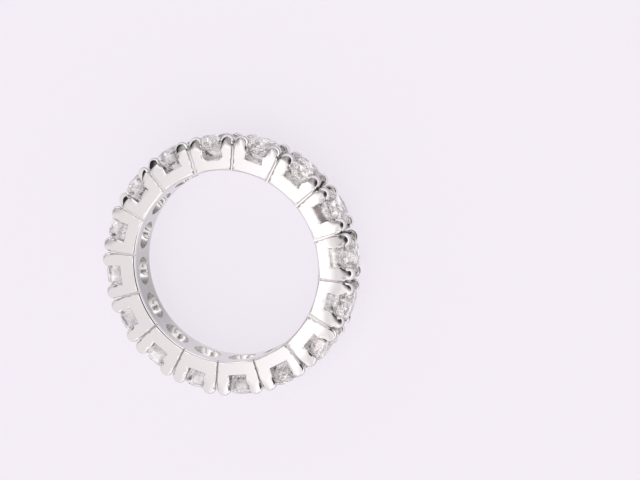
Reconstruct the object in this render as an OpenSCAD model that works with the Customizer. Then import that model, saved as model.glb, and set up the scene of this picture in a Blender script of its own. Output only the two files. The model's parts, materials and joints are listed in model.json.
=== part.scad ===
// Full eternity band: a cast ring of open square settings with one round brilliant
// in each. The ring lies on its side, with its axis along +Z and its rear faces at Z = 0.

/* [Finger hole] */
// Diameter of the finger hole at mid-width
finger_d = 17; // [16:0.1:19]
// Width of the band between its two flat sides
band_w = 3.7; // [3.5:0.1:4]
// Rise of the sloping edge between the finger hole and each side
inner_bevel = 0.2; // [0.1:0.05:0.3]

/* [Settings] */
// Radial height of metal below the square notches
base_h = 1.32; // [1.1:0.02:1.4]
// Width of the square notch in each side of a setting
notch_w = 1.58; // [1.3:0.02:1.7]
// Widening of the notch on each side, from its floor to the prong tips
notch_flare = 0.12; // [0:0.02:0.16]
// Radial height from the finger hole to the tips of the prongs
prong_h = 3.22; // [3.16:0.01:3.26]
// Radius of the rounded prong tips, seen from the side of the ring
tip_r = 0.62; // [0.58:0.01:0.64]
// Width of the groove between neighbouring settings
groove_w = 0.34; // [0.2:0.02:0.4]
// Length around the ring of the window below each stone
window_l = 2.5; // [2.2:0.1:2.6]
// Width across the ring of the window below each stone
window_w = 1.84; // [1.6:0.02:1.88]

/* [Stones] */
// Number of stones around the ring
stones = 16; // [16:1:16]
// Girdle diameter of each stone
stone_d = 3.66; // [3.4:0.02:3.68]
// Table diameter as a share of the girdle diameter
table_share = 0.57; // [0.53:0.01:0.6]
// Crown height as a share of the girdle diameter
crown_share = 0.155; // [0.14:0.005:0.165]
// Pavilion depth as a share of the girdle diameter
pavilion_share = 0.43; // [0.42:0.005:0.44]
// Thickness of the girdle
girdle_t = 0.1; // [0.06:0.01:0.16]
// Radial height from the finger hole to the tables
table_h = 3.2; // [3.16:0.01:3.26]
// Clearance between a stone and the metal that holds it
seat_gap = 0.04; // [0.03:0.01:0.08]

/* [Hidden] */
$fn = 96;

ri = finger_d / 2;
half_w = band_w / 2;
pitch = 360 / stones;
half_pitch = pitch / 2;
notch_r = ri + base_h;
tip_top = ri + prong_h;

// Cross-section of the finger hole: a plain middle, two lands and a sloping edge
land_h = 0.02;
land_z = 0.98;
land_end = half_w - 0.6;
slope_h = 0.06;
slope_z = half_w - 0.2;

// Prongs: crease where they begin to lean inward, and the round end of the cross-section
crease_r = ri + 2.05;
lean_in = 0.04;
lean_r = 0.5;
lean_z = half_w - lean_r - 0.03;
prong_gap = 0.08;
prong_root = notch_r - 0.4;
tip_mid_r = tip_top - tip_r;

// Open channel behind the prongs, all the way round between the stones
channel_r = ri + 1.5;
channel_z = half_w - 0.93;
wall_r = channel_r + 0.1;

// Stone heights above the ring's axis
girdle_r = stone_d / 2;
table_r = girdle_r * table_share;
table_z = ri + table_h;
girdle_top = table_z - stone_d * crown_share;
girdle_low = girdle_top - girdle_t;
culet_z = girdle_low - stone_d * pavilion_share;

// Corners where star facets meet the kites, and where the lower facets meet the mains
star_share = 0.42;
lower_share = 0.27;
facet_turn = 22.5;
star_r = table_r + (girdle_r - table_r) * star_share;
crown_fall = (star_r * cos(facet_turn) - table_r) / (girdle_r - table_r);
star_z = table_z - crown_fall * (table_z - girdle_top);
lower_r = girdle_r * lower_share;
lower_z = culet_z + lower_share * cos(facet_turn) * (girdle_low - culet_z);

// Hollow under each stone: a cup that widens from the window to the girdle
cup_low_z = ri + 0.45;
cup_low_r = 0.93;
cup_top_z = girdle_low - 0.47;
cup_top_r = 1.44;
seat_r = girdle_r + seat_gap;
seat_ease = 0.02;
window_top = ri + 0.7;

// Half of the cross-section that is turned about the ring's axis, from mid-width to one side
half_section = [
    [ri, land_z],
    [ri + land_h, land_z],
    [ri + land_h, land_end],
    [ri + slope_h, slope_z],
    [ri + land_h + inner_bevel, half_w],
    [crease_r, half_w],
    [tip_top - lean_r, half_w - lean_in]
];
rear_section = [for (k = [len(half_section) - 1 : -1 : 0]) [half_section[k][0], -half_section[k][1]]];

module turned_body() {
    difference() {
        union() {
            rotate_extrude($fn = 180) polygon(concat(half_section, rear_section));
            for (side = [-1, 1]) {
                rotate_extrude($fn = 180) translate([tip_top - lean_r, side * lean_z]) circle(r = lean_r);
            }
        }
        rotate_extrude($fn = 180) translate([channel_r, -channel_z]) square([prong_h, 2 * channel_z]);
    }
}

// Half width of the notch at a distance r from the ring's axis
function notch_half(r) = notch_w / 2 + notch_flare * (r - notch_r) / (tip_top - notch_r);

// Distance from the middle of a setting to its side at a distance r from the ring's axis
function side_at(r) = r * tan(half_pitch) - prong_gap * (r - prong_root) / (tip_top - prong_root);

// One prong seen along the ring's axis, on the left of a setting that points along +X
module prong_outline() {
    mid = (notch_half(tip_mid_r) + side_at(tip_mid_r)) / 2;
    intersection() {
        polygon([
            [prong_root, notch_w / 2],
            [notch_r, notch_w / 2],
            [tip_top, notch_half(tip_top)],
            [tip_top, side_at(tip_top)],
            [prong_root, side_at(prong_root)]
        ]);
        union() {
            translate([tip_mid_r, mid]) circle(r = tip_r);
            translate([prong_root, mid - 2 * tip_r]) square([tip_mid_r - prong_root, 4 * tip_r]);
        }
    }
}

// The settings seen along the ring's axis: a closed ring of metal and a pair of prongs on each
module settings_outline() {
    difference() {
        circle(r = wall_r, $fn = 180);
        for (i = [0 : stones - 1]) {
            rotate(i * pitch) polygon([
                [notch_r, -notch_w / 2],
                [tip_top, -notch_half(tip_top)],
                [tip_top, notch_half(tip_top)],
                [notch_r, notch_w / 2]
            ]);
        }
    }
    for (i = [0 : stones - 1]) {
        rotate(i * pitch) {
            prong_outline();
            mirror([0, 1]) prong_outline();
        }
    }
}

// Open space below and around one stone, turned about the stone's own axis
module seat_space() {
    rotate_extrude() {
        polygon([
            [0, cup_low_z],
            [cup_low_r, cup_low_z],
            [cup_top_r, cup_top_z],
            [seat_r, girdle_low - seat_ease],
            [seat_r, girdle_top + seat_ease],
            [table_r + seat_gap, table_z + seat_ease],
            [0, table_z + seat_ease]
        ]);
    }
}

// Long window with round ends between the finger hole and the space below a stone
module window_space() {
    straight = window_l - window_w;
    translate([0, 0, ri / 2]) {
        linear_extrude(height = window_top - ri / 2) {
            square([window_w, straight], center = true);
            translate([0, straight / 2]) circle(d = window_w);
            translate([0, -straight / 2]) circle(d = window_w);
        }
    }
}

// V-shaped groove along one edge between two settings
module groove_space() {
    side = groove_w / sqrt(2);
    translate([ri / 2, 0, 0]) rotate([45, 0, 0])
        translate([0, -side / 2, -side / 2]) cube([ri, side, side]);
}

module band() {
    color("silver") translate([0, 0, half_w]) difference() {
        intersection() {
            turned_body();
            translate([0, 0, -band_w]) linear_extrude(height = 2 * band_w) settings_outline();
        }
        for (i = [0 : stones - 1]) {
            rotate(i * pitch) rotate([0, 90, 0]) seat_space();
            rotate(i * pitch) rotate([0, 90, 0]) window_space();
        }
        for (i = [0 : stones - 1]) {
            rotate((i + 0.5) * pitch) {
                translate([0, 0, half_w]) groove_space();
                translate([0, 0, -half_w]) groove_space();
            }
        }
    }
}

// Points of a brilliant cut: rings of corners from the table down to the culet
function ring(n, r, z, turn) = [
    for (k = [0 : n - 1]) [r * cos(turn + k * 360 / n), r * sin(turn + k * 360 / n), z]
];
cut_points = concat(
    ring(8, table_r, table_z, 0),
    ring(8, star_r, star_z, facet_turn),
    ring(16, girdle_r, girdle_top, 0),
    ring(16, girdle_r, girdle_low, 0),
    ring(8, lower_r, lower_z, facet_turn),
    [[0, 0, culet_z]]
);

// Number of each corner in that list, by its ring
function table(k) = k % 8;
function star(k) = 8 + k % 8;
function upper(k) = 16 + (k + 16) % 16;
function under(k) = 32 + (k + 16) % 16;
function lower(k) = 48 + (k + 8) % 8;
culet = 56;

// Facets, with their corners clockwise as seen from outside
table_face = [[for (k = [0 : 7]) 7 - k]];
star_faces = [for (k = [0 : 7]) [table(k), table(k + 1), star(k)]];
kite_faces = [
    for (k = [0 : 7], half = [[table(k), star(k), upper(2 * k)], [table(k), upper(2 * k), star(k + 7)]]) half
];
upper_faces = [
    for (k = [0 : 7], half = [[upper(2 * k + 1), upper(2 * k)], [upper(2 * k + 2), upper(2 * k + 1)]])
        concat([star(k)], half)
];
girdle_faces = [
    for (k = [0 : 15], half = [[upper(k + 1), under(k + 1)], [under(k + 1), under(k)]])
        concat([upper(k)], half)
];
lower_faces = [
    for (k = [0 : 7], half = [[under(2 * k), under(2 * k + 1)], [under(2 * k + 1), under(2 * k + 2)]])
        concat(half, [lower(k)])
];
main_faces = [
    for (k = [0 : 7], half = [[lower(k), culet], [under(2 * k), lower(k)]]) concat(half, [lower(k + 7)])
];

module diamond(i) {
    color("aliceblue") translate([0, 0, half_w]) rotate(i * pitch) rotate([0, 90, 0])
        polyhedron(
            points = cut_points,
            faces = concat(
                table_face, star_faces, kite_faces, upper_faces,
                girdle_faces, lower_faces, main_faces
            )
        );
}

band();
diamond(0);  // diamond_01
diamond(1);  // diamond_02
diamond(2);  // diamond_03
diamond(3);  // diamond_04
diamond(4);  // diamond_05
diamond(5);  // diamond_06
diamond(6);  // diamond_07
diamond(7);  // diamond_08
diamond(8);  // diamond_09
diamond(9);  // diamond_10
diamond(10);  // diamond_11
diamond(11);  // diamond_12
diamond(12);  // diamond_13
diamond(13);  // diamond_14
diamond(14);  // diamond_15
diamond(15);  // diamond_16
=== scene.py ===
# %% [markdown]
# # A diamond wedding band in Blender
# The object is a full eternity ring: sixteen square settings of polished white gold in a closed
# ring, with a round brilliant in each. The packed model gives every size and place. Its stones
# are shown as they come, with a better material. Its metal is one solid with sharp edges; here
# the metal is made again as finer surfaces with rounded edges, because polished metal shows
# every edge as a line of light.

# %% The frame
import json
import math

import bmesh
import bpy
import numpy as np
from mathutils import Matrix, Vector


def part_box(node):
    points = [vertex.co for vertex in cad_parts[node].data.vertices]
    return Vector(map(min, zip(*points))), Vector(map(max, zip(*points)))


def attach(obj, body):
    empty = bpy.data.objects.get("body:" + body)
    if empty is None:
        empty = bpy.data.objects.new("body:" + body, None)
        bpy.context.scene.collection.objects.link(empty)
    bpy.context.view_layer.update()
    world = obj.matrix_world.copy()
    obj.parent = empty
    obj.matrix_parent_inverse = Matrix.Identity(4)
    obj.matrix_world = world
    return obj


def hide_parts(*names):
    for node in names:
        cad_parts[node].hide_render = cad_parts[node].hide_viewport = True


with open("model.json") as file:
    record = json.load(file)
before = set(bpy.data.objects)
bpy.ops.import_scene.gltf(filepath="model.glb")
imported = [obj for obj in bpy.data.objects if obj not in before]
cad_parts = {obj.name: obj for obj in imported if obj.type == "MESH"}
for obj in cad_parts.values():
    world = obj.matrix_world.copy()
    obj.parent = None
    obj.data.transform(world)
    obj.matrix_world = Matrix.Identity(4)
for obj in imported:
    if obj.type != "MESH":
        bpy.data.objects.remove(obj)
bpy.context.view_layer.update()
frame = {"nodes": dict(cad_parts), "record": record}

# %% [markdown]
# ## Sizes
# A goldsmith works in millimetres, so the surfaces are worked out in millimetres and turned into
# metres where a mesh is made. What the packed model can tell is read from it: the radius of the
# finger hole, the width of the band, and the size and height of the stones. One setting is worked
# out lying along +X, with x its height above the ring's axis, y the way along the ring and z the
# way across it from mid-width, and is then turned to its place.

# %% Sizes
MM = 0.001
stone_low, stone_high = (np.array(corner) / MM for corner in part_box("diamond_01"))
band_low, band_high = (np.array(corner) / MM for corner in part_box("band"))
BORE = frame["record"]["mounts"][0]["dims"]["r_mm"]
HALF_WIDTH = (band_high[2] - band_low[2]) / 2
STONE_NAMES = sorted(name for name in frame["nodes"] if name.startswith("diamond"))
COUNT = len(STONE_NAMES)
PITCH = 2 * math.pi / COUNT
HALF_PITCH = PITCH / 2
GIRDLE = (stone_high[2] - stone_low[2]) / 2
TABLE_AT = stone_high[0]
print(f"bore {BORE:.2f}, half width {HALF_WIDTH:.2f}, {COUNT} stones of {2 * GIRDLE:.2f} mm")

# %% [markdown]
# ## The camera
# The photograph looks at the ring from about twenty degrees off its axis. A camera could be aimed
# by eye, but a fit is surer: the places of the grooves, the notches and both rims of the finger
# hole were read off the picture, and three turns, an offset, a distance and a lens were found that
# bring the model's points onto them. The ring is turned about its own Y, X and Z and pushed back,
# and the camera's matrix is the inverse, so the turns are undone in the opposite order.

# %% The camera
VIEW_TURN_X = math.radians(6.01)
VIEW_TURN_Y = math.radians(-16.18)
VIEW_TURN_Z = math.radians(6.34)
RING_IN_VIEW = Vector((8.03, 2.19, 123.5)) * MM
VIEW_CENTRE = Vector((0, 0, 2.1)) * MM
FOCAL_PIXELS = 1379
PICTURE_WIDTH = 640
SENSOR = 36
CLIP_START = 0.001


def in_scene(name, data):
    """A new object in the scene, at the origin, unturned and unscaled."""
    made = bpy.data.objects.new(name, data)
    bpy.context.scene.collection.objects.link(made)
    return made


camera_data = bpy.data.cameras.new("camera")
camera_data.sensor_width = SENSOR
camera_data.lens = FOCAL_PIXELS / PICTURE_WIDTH * SENSOR
camera_data.clip_start = CLIP_START
camera = in_scene("camera", camera_data)
turn = (
    Matrix.Rotation(-VIEW_TURN_Y, 4, "Y")
    @ Matrix.Rotation(-VIEW_TURN_X, 4, "X")
    @ Matrix.Rotation(-VIEW_TURN_Z, 4, "Z")
)
camera.matrix_world = Matrix.Translation(VIEW_CENTRE) @ turn @ Matrix.Translation(RING_IN_VIEW)
bpy.context.scene.camera = camera
print("camera at", [round(v / MM, 1) for v in camera.matrix_world.translation], "mm")

# %% [markdown]
# ## From numbers to meshes
# Every new surface is a grid: rows of points one way and columns the other, with each row closed
# into a loop. The faces of a grid follow from the numbers of its points alone. A closed shell also
# needs its faces to point outwards, which its volume tells: a shell whose faces point inwards has
# a negative one.

# %% Grids and shells
def grid_faces(rows, columns):
    """Quads of a grid whose rows are closed loops, each quad between four neighbouring points."""
    number = np.arange(rows * columns).reshape(rows, columns)
    number = np.concatenate([number, number[:, :1]], axis=1)
    corners = [number[:-1, :-1], number[:-1, 1:], number[1:, 1:], number[1:, :-1]]
    return np.stack(corners, axis=-1).reshape(-1, 4)


def facing_out(points, quads):
    """The quads, turned round if their volume is negative: the sum of (a x b) . c over all triangles."""
    a, b, c, d = (points[quads[:, k]] for k in range(4))
    volume = (np.cross(a, b) * c).sum() + (np.cross(a, c) * d).sum()
    return quads if volume > 0 else quads[:, ::-1]


def smooth_step(x, start, end):
    """0 before start, 1 after end, and the curve 3t^2 - 2t^3 in between."""
    t = np.clip((x - start) / (end - start), 0, 1)
    return t * t * (3 - 2 * t)


def blend(a, b, share):
    """a at share 0, b at share 1, and the straight line between them: a + (b - a) share."""
    return a + (b - a) * share


print("a grid of 2 loops of 4 points has", len(grid_faces(2, 4)), "faces")

# %% [markdown]
# ## Making a piece
# Each piece of metal becomes one mesh object. The arrays go in whole, then points that coincide are welded
# so that the shell is closed. Besides its points a piece carries marks, one number a point, that say where
# the metal was filed, where it has wear and painted shade, where it is dull, where dark lines and shade
# are painted and where light is painted. The material reads them, so the filing, the wear and the painted
# light and shade follow the shape.

# %% Making a piece
SHARP_ANGLE = math.radians(40)
WELD = 0.0004


def mesh_from(name, points, quads, marks):
    """A mesh from points in millimetres, quads, and marks as arrays of one number a point."""
    mesh = bpy.data.meshes.new(name)
    mesh.vertices.add(len(points))
    mesh.vertices.foreach_set("co", (points * MM).astype(np.float32).ravel())
    mesh.loops.add(quads.size)
    mesh.loops.foreach_set("vertex_index", quads.astype(np.int32).ravel())
    mesh.polygons.add(len(quads))
    mesh.polygons.foreach_set("loop_start", np.arange(0, quads.size, 4, dtype=np.int32))
    mesh.update(calc_edges=True)
    for mark, values in marks.items():
        attribute = mesh.attributes.new(mark, "FLOAT", "POINT")
        attribute.data.foreach_set("value", np.ravel(values).astype(np.float32))
    return mesh


def make_piece(name, points, quads, material, marks):
    """A welded, smooth object that rides on the ring's one body and stands for the packed band."""
    mesh = mesh_from(name, points, quads, marks)
    shell = bmesh.new()
    shell.from_mesh(mesh)
    bmesh.ops.remove_doubles(shell, verts=shell.verts, dist=WELD * MM)
    bmesh.ops.dissolve_degenerate(shell, edges=shell.edges, dist=WELD * MM)
    shell.to_mesh(mesh)
    shell.free()
    mesh.polygons.foreach_set("use_smooth", np.ones(len(mesh.polygons), bool))
    mesh.set_sharp_from_angle(angle=SHARP_ANGLE)
    mesh.materials.append(material)
    piece = in_scene(name, mesh)
    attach(piece, "root")
    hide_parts("band")
    return piece


print("edges sharper than", round(math.degrees(SHARP_ANGLE)), "degrees stay sharp")

# %% [markdown]
# ## The hollow under a stone
# Under each stone the setting is a cup, turned about the stone's own axis: narrow at the finger
# hole, wide at the girdle, and closing again over the crown. The wall of the ring and the prongs
# both end at it. It could be cut out of each of them, but a cut leaves ragged faces, so it is one
# function of the height above the ring's axis that both are drawn up to.

# %% The cup
CROWN_SHARE = 0.155
TABLE_SHARE = 0.57
GIRDLE_THICK = 0.1
SEAT_GAP = 0.04
SEAT_EASE = 0.02
girdle_top = TABLE_AT - 2 * GIRDLE * CROWN_SHARE
girdle_low = girdle_top - GIRDLE_THICK
seat_radius = GIRDLE + SEAT_GAP
# Foot, throat, start of the seat's slope, both edges of the girdle's seat, and the table
CUP_HEIGHTS = [
    BORE + 0.45, BORE + 1.45, girdle_low - 0.47,
    girdle_low - SEAT_EASE, girdle_top + SEAT_EASE, TABLE_AT + SEAT_EASE]
CUP_RADII = [0.98, 1.00, 1.44, seat_radius, seat_radius, GIRDLE * TABLE_SHARE + SEAT_GAP]


def cup_radius(height):
    """Radius of the cup about the stone's axis: straight lines between the named heights."""
    return np.interp(height, CUP_HEIGHTS, CUP_RADII)


print("cup radius at the girdle", round(float(cup_radius(girdle_low)), 2), "mm")

# %% [markdown]
# ## What differs from one setting to the next
# The ring is made by hand: the notches are sawn and filed one by one, so their floors lie a little
# higher or lower, and each prong is pushed over its stone by eye. A seeded draw alone would give
# such variety too, but not the one in the photograph, where some prongs lean enough to turn dark
# in the light tent. So tables give each setting's numbers, from the first stone round the ring to
# the last, and the draw only adds a little to them.

# %% The notches
NOTCHES = {
    # Height of the floor above the ring's axis
    "floor": [
        9.70, 9.71, 9.84, 9.74, 9.52, 9.73, 9.78, 9.80,
        10.01, 9.98, 9.90, 9.96, 9.82, 9.86, 9.92, 9.69],
    # Half the width, and the shift of its middle along the ring
    "half": [
        0.835, 0.755, 0.83, 0.77, 0.86, 0.81, 0.815, 0.80,
        0.805, 0.75, 0.745, 0.775, 0.78, 0.855, 0.75, 0.755],
    "shift": [
        0.055, 0.145, 0.05, 0.04, 0.0, 0.0, 0.025, 0.0,
        0.015, -0.05, -0.085, -0.035, -0.05, 0.105, -0.07, 0.005],
    # Radius of its corners
    "corner": [0.05] * 4 + [0.38] + [0.05] * 11,
    # How far the floor rises inwards to the stone
    "seat_rise": [
        0.40, 0.45, 0.35, 0.30, 0.30, 0.10, 0.10, 0.05,
        0.0, 0.0, 0.0, 0.0, 0.05, 0.10, 0.25, 0.40],
}
print("notch floors from", min(NOTCHES["floor"]), "to", max(NOTCHES["floor"]), "mm from the axis")

# %% The prongs
PRONGS = {
    # Height above the finger hole where the prong begins to lean, and the length of that bend
    "crease": [
        1.40, 2.30, 2.45, 2.50, 2.10, 2.27, 2.30, 2.25,
        2.30, 2.20, 2.20, 2.20, 2.20, 2.00, 1.50, 1.30],
    "soft": [
        0.60, 0.30, 0.03, 0.25, 0.15, 0.02, 0.03, 0.20,
        0.30, 0.40, 0.40, 0.40, 0.40, 0.40, 0.45, 0.60],
    # Slope past the crease, and how fast it grows
    "lean": [
        0.07, 0.10, 0.34, 0.05, 0.22, 0.34, 0.33, 0.03,
        0.02, 0.02, 0.02, 0.02, 0.02, 0.03, 0.05, 0.05],
    "curl": [
        0.13, 0.08, 0.05, 0.06, 0.12, 0.03, 0.24, 0.04,
        0.03, 0.02, 0.02, 0.02, 0.03, 0.05, 0.09, 0.11],
    # Roundness across the tip, and how far its nose rolls over
    "cross": [
        0.06, 0.05, 0.03, 0.03, 0.08, 0.05, 0.12, 0.03,
        0.02, 0.02, 0.02, 0.02, 0.02, 0.03, 0.04, 0.05],
    "nose": [
        0.75, 0.85, 0.50, 0.30, 0.30, 0.10, 0.10, 0.03,
        0.0, 0.0, 0.0, 0.0, 0.0, 0.0, 0.05, 0.40],
}
print("prongs lean from", min(PRONGS["crease"]), "to", max(PRONGS["crease"]), "mm above the finger hole")

# %% Filing, painted light and painted shade
FILING_PAINTED_LIGHT_AND_SHADE = {
    # File strokes, and painted light on the notch's floor
    "filed": [0.35, 1.00, 0.40, 0.25, 0.30] + [0.40] * 9 + [0.30, 0.50],
    "light": [0.8, 0.0, 0.15, 0.15, 0.10] + [0.0] * 9 + [0.15, 0.45],
    # Painted shade on the notch's walls, and a painted highlight, the gleam, on its bevel
    "shade": [
        0.0, 0.3, 0.2, 0.1, 0.3, 0.8, 0.8, 0.9,
        0.9, 0.9, 0.9, 0.9, 0.7, 0.5, 0.2, 0.1],
    "gleam": [
        0.0, 0.0, 0.0, 0.1, 0.2, 0.4, 0.5, 0.3,
        0.2, 0.1, 0.1, 0.1, 0.0, 0.0, 0.0, 0.0],
}
# By groove, from the one after the first stone: its reach, and how dark the line along it is made
GROOVES = {
    "groove": [
        0.16, 0.16, 0.16, 0.14, 0.16, 0.14, 0.13, 0.13,
        0.12, 0.10, 0.09, 0.09, 0.09, 0.14, 0.18, 0.10],
    "dark": [0.0] * 7 + [0.3, 0.3, 0.8, 1.0, 1.0, 1.0, 0.8, 0.4, 0.5],
}
# Wear and painted shade of the finger hole below each stone
BORE_WORN_AND_SHADED = [
    0.3, 0.3, 0.3, 0.2, 0.1, 0.15, 0.3, 0.35,
    0.8, 1.0, 0.35, 0.0, 0.0, 0.1, 0.2, 0.3]
# By stone, how dark the painted shade at the ends of the window below it is, and how much painted light
# its walls get
WINDOW_PAINTED_SHADE = [
    0.6, 0.6, 0.6, 0.6, 0.8, 0.9, 1.0, 1.0,
    0.9, 0.8, 0.8, 0.55, 0.5, 0.5, 0.6, 0.6]
WINDOW_PAINTED_LIGHT = [
    0.0, 0.0, 0.0, 0.0, 0.1, 0.1, 0.1, 0.1,
    0.05, 0.05, 0.15, 0.45, 0.55, 0.3, 0.0, 0.0]
print("most worn below stone", 1 + BORE_WORN_AND_SHADED.index(max(BORE_WORN_AND_SHADED)))

# %% [markdown]
# ## One prong
# Two settings share a groove, and a prong stands on each side of it. Its tip, seen along the
# ring's axis, is half an ellipse; its crease is where the pliers have bent it over the stone. A
# draw for each prong keeps two neighbours from being the same; the generator is seeded, so that
# every run makes the same ring.

# %% One prong
TIP_MIDDLE = BORE + 2.54
TIP_RISE = 0.58
TIP_HALF = 0.62
TIP_GAP = 0.08
# How far a draw moves the tip and the crease, changes the lean as a share, and turns the crease
TIP_WANDER = 0.02
CREASE_WANDER = 0.08
LEAN_WANDER = 0.2
SKEW_WANDER = 0.25
DRAWS = 7
SEED = 16
chance = np.random.default_rng(SEED)


def one_prong(index, arm):
    """The numbers of one prong and its half of the notch, on the side of +y for arm 1 and -y for -1.

    They are the tables' values plus a draw of up to the named amounts. The gap is what is left
    between the tip's side and the line halfway to the next setting.
    """
    up, rise, along, crease, lean, curl, skew = chance.uniform(-1, 1, DRAWS)
    groove = index if arm == 1 else index - 1
    shape = {key: values[index] for key, values in (NOTCHES | PRONGS | FILING_PAINTED_LIGHT_AND_SHADE).items()}
    shape |= {key: values[groove] for key, values in GROOVES.items()}
    shape["half"] += arm * shape["shift"]
    shape["tip_x"] = TIP_MIDDLE + TIP_WANDER * up
    shape["tip_rise"] = TIP_RISE + TIP_WANDER * rise
    shape["tip_y"] = TIP_MIDDLE * math.tan(HALF_PITCH) - TIP_GAP - TIP_HALF + TIP_WANDER * along
    shape["gap"] = shape["tip_x"] * math.tan(HALF_PITCH) - shape["tip_y"] - TIP_HALF
    shape["crease"] += BORE + CREASE_WANDER * crease
    shape["lean"] *= 1 + LEAN_WANDER * lean
    shape["curl"] *= 1 + LEAN_WANDER * curl
    shape["skew"] = SKEW_WANDER * skew
    return shape


print("prong tips reach about", round(TIP_MIDDLE + TIP_RISE, 2), "mm from the axis")

# %% [markdown]
# ## The fork
# Seen along the ring's axis a setting is a fork: a flat plate with a square notch, whose two arms
# are the prongs. It could be cut out of a slab, but then its edges would have to be bevelled
# afterwards. Here it is a section carried along the fork's own line, from one prong tip down round
# the notch and up to the other. Two curves guide it: the notch's outline on the inside, and the
# outside of the fork. Each section joins a point of one to a point of the other.

# %% The side of a fork
# Heights counted from the middle of the tip, over which the gap opens
GAP_ZONE = (-1.0, 0.0)


def towards_tip(x, shape, zone):
    """Smooth step from 0 to 1 over a zone of heights that are counted from the middle of the tip."""
    return smooth_step(x, shape["tip_x"] + zone[0], shape["tip_x"] + zone[1])


def side_line(x, shape):
    """How far the fork's outer side is from its middle: halfway to the next, less the gap at the tip."""
    return x * math.tan(HALF_PITCH) - shape["gap"] * towards_tip(x, shape, GAP_ZONE)


print("a fork's side opens towards its tip over", GAP_ZONE[1] - GAP_ZONE[0], "mm")

# %% The two guiding curves
FLOOR_STEPS = 9
CORNER_STEPS = 8
ARM_STEPS = 40
TIP_STEPS = 20
# The plate's foot: where the finger hole's edge ends, and how it turns up into each groove
SLOPE_FOOT = BORE + 0.06
FOOT_ROUND = 0.04
FOOT_SHARE = 0.97


def half_fork(shape):
    """Inner and outer curve of half a fork, from the middle of the notch's floor to the tip of the prong.

    Inner: the floor, a quarter circle, the notch's side and a quarter ellipse over the tip.
    Outer: an arc of the finger hole, a rounded corner, the side line and the other quarter ellipse.
    """
    floor, half, corner = shape["floor"], shape["half"], shape["corner"]
    tip_x, tip_y, rise = shape["tip_x"], shape["tip_y"], shape["tip_rise"]
    along = np.linspace(0, 1, FLOOR_STEPS, endpoint=False)
    quarter = np.linspace(0, math.pi / 2, CORNER_STEPS, endpoint=False)
    up = np.linspace(0, 1, ARM_STEPS, endpoint=False)
    over = np.linspace(0, math.pi / 2, TIP_STEPS)
    inner = [
        (np.full(FLOOR_STEPS, floor), along * (half - corner)),
        (floor + corner * (1 - np.cos(quarter)), half - corner * (1 - np.sin(quarter))),
        (blend(floor + corner, tip_x, up), blend(half, tip_y - TIP_HALF, up)),
        (tip_x + rise * np.sin(over), tip_y - TIP_HALF * np.cos(over)),
    ]
    foot_angle = HALF_PITCH * FOOT_SHARE
    round_angle = blend(foot_angle, HALF_PITCH, np.sin(quarter))
    round_radius = SLOPE_FOOT + FOOT_ROUND * (1 - np.cos(quarter))
    side_x = blend((SLOPE_FOOT + FOOT_ROUND) * math.cos(HALF_PITCH), tip_x, up)
    outer = [
        (SLOPE_FOOT * np.cos(along * foot_angle), SLOPE_FOOT * np.sin(along * foot_angle)),
        (round_radius * np.cos(round_angle), round_radius * np.sin(round_angle)),
        (side_x, side_line(side_x, shape)),
        (tip_x + rise * np.sin(over), tip_y + TIP_HALF * np.cos(over)),
    ]
    return np.concatenate(inner, axis=1).T, np.concatenate(outer, axis=1).T


print("half a fork has", FLOOR_STEPS + CORNER_STEPS + ARM_STEPS + TIP_STEPS, "sections")

# %% [markdown]
# ## Rounded edges
# The flat face of the plate drops away near its edges. A bevel modifier could round them all alike,
# but here they differ: a soft chamfer at the finger hole, a V at the groove, a crisp edge round the
# notch and a dome over each prong tip. So the drop is a function of the distance to each edge.

# %% Distances to the edges
def groove_distance(x, y, shape):
    """Distance to the fork's outer side, square to it."""
    return (side_line(x, shape) - y) * math.cos(HALF_PITCH)


def notch_distance(x, y, shape):
    """Distance to the notch: to its floor, to its side, or to the quarter circle of its corner."""
    beside = np.stack([shape["floor"] - x, y - shape["half"]]) + shape["corner"]
    return np.hypot(*np.maximum(beside, 0)) + np.minimum(beside.max(axis=0), 0) - shape["corner"]


def tip_distance(x, y, shape):
    """Distance to a prong's outline: its nearer side below the tip's middle, the ellipse above it."""
    up_arm = (x - shape["floor"]) / (shape["tip_x"] - shape["floor"])
    notch_side = blend(shape["half"], shape["tip_y"] - TIP_HALF, up_arm)
    beside = np.minimum(y - notch_side, side_line(x, shape) - y)
    from_middle = np.hypot((x - shape["tip_x"]) / shape["tip_rise"], (y - shape["tip_y"]) / TIP_HALF)
    return np.where(x > shape["tip_x"], (1 - from_middle) * TIP_HALF, beside)


print("the tip of a prong is", 2 * TIP_HALF, "mm wide")

# %% Drops at the edges
# Reach, depth and flatness of each edge in millimetres; flatness 0 is round and 1 a straight slope
BORE_EDGE = (0.13, 0.16, 0.7)
NOTCH_EDGE = (0.08, 0.105, 0.85)
TIP_EDGE = (0.16, 0.15, 0.8)
BACK_EDGE = (0.2, 0.2, 0.0)
# A groove's depth, the share of its reach that slopes, and how much of the slope is smoothed
GROOVE_DEPTH = 0.14
GROOVE_SLOPE = 0.56
GROOVE_SMOOTH = 0.5


def drop(distance, edge):
    """Fall of a face at a distance from its edge: a quarter ellipse blended with a straight slope."""
    reach, depth, flatness = edge
    t = 1 - np.clip(distance / reach, 0, 1)
    return depth * blend(1 - np.sqrt(np.clip(1 - t * t, 0, 1)), t, flatness)


def groove_drop(distance, reach):
    """Fall beside a groove: a slope, half straight and half smooth step, down to a flat bottom."""
    straight = np.clip((reach - distance) / (GROOVE_SLOPE * reach), 0, 1)
    return GROOVE_DEPTH * blend(straight, smooth_step(straight, 0, 1), GROOVE_SMOOTH)


print("drop at the edge of the notch", round(float(drop(0, NOTCH_EDGE)), 3), "mm")

# %% [markdown]
# ## The faces of a plate
# The outer face is flat at the ring's full width, less the drops, and less the lean of the prongs
# over the stone. The inner face is the wall of the cup, or of the open channel that runs behind
# the prongs all the way round the ring.

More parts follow.
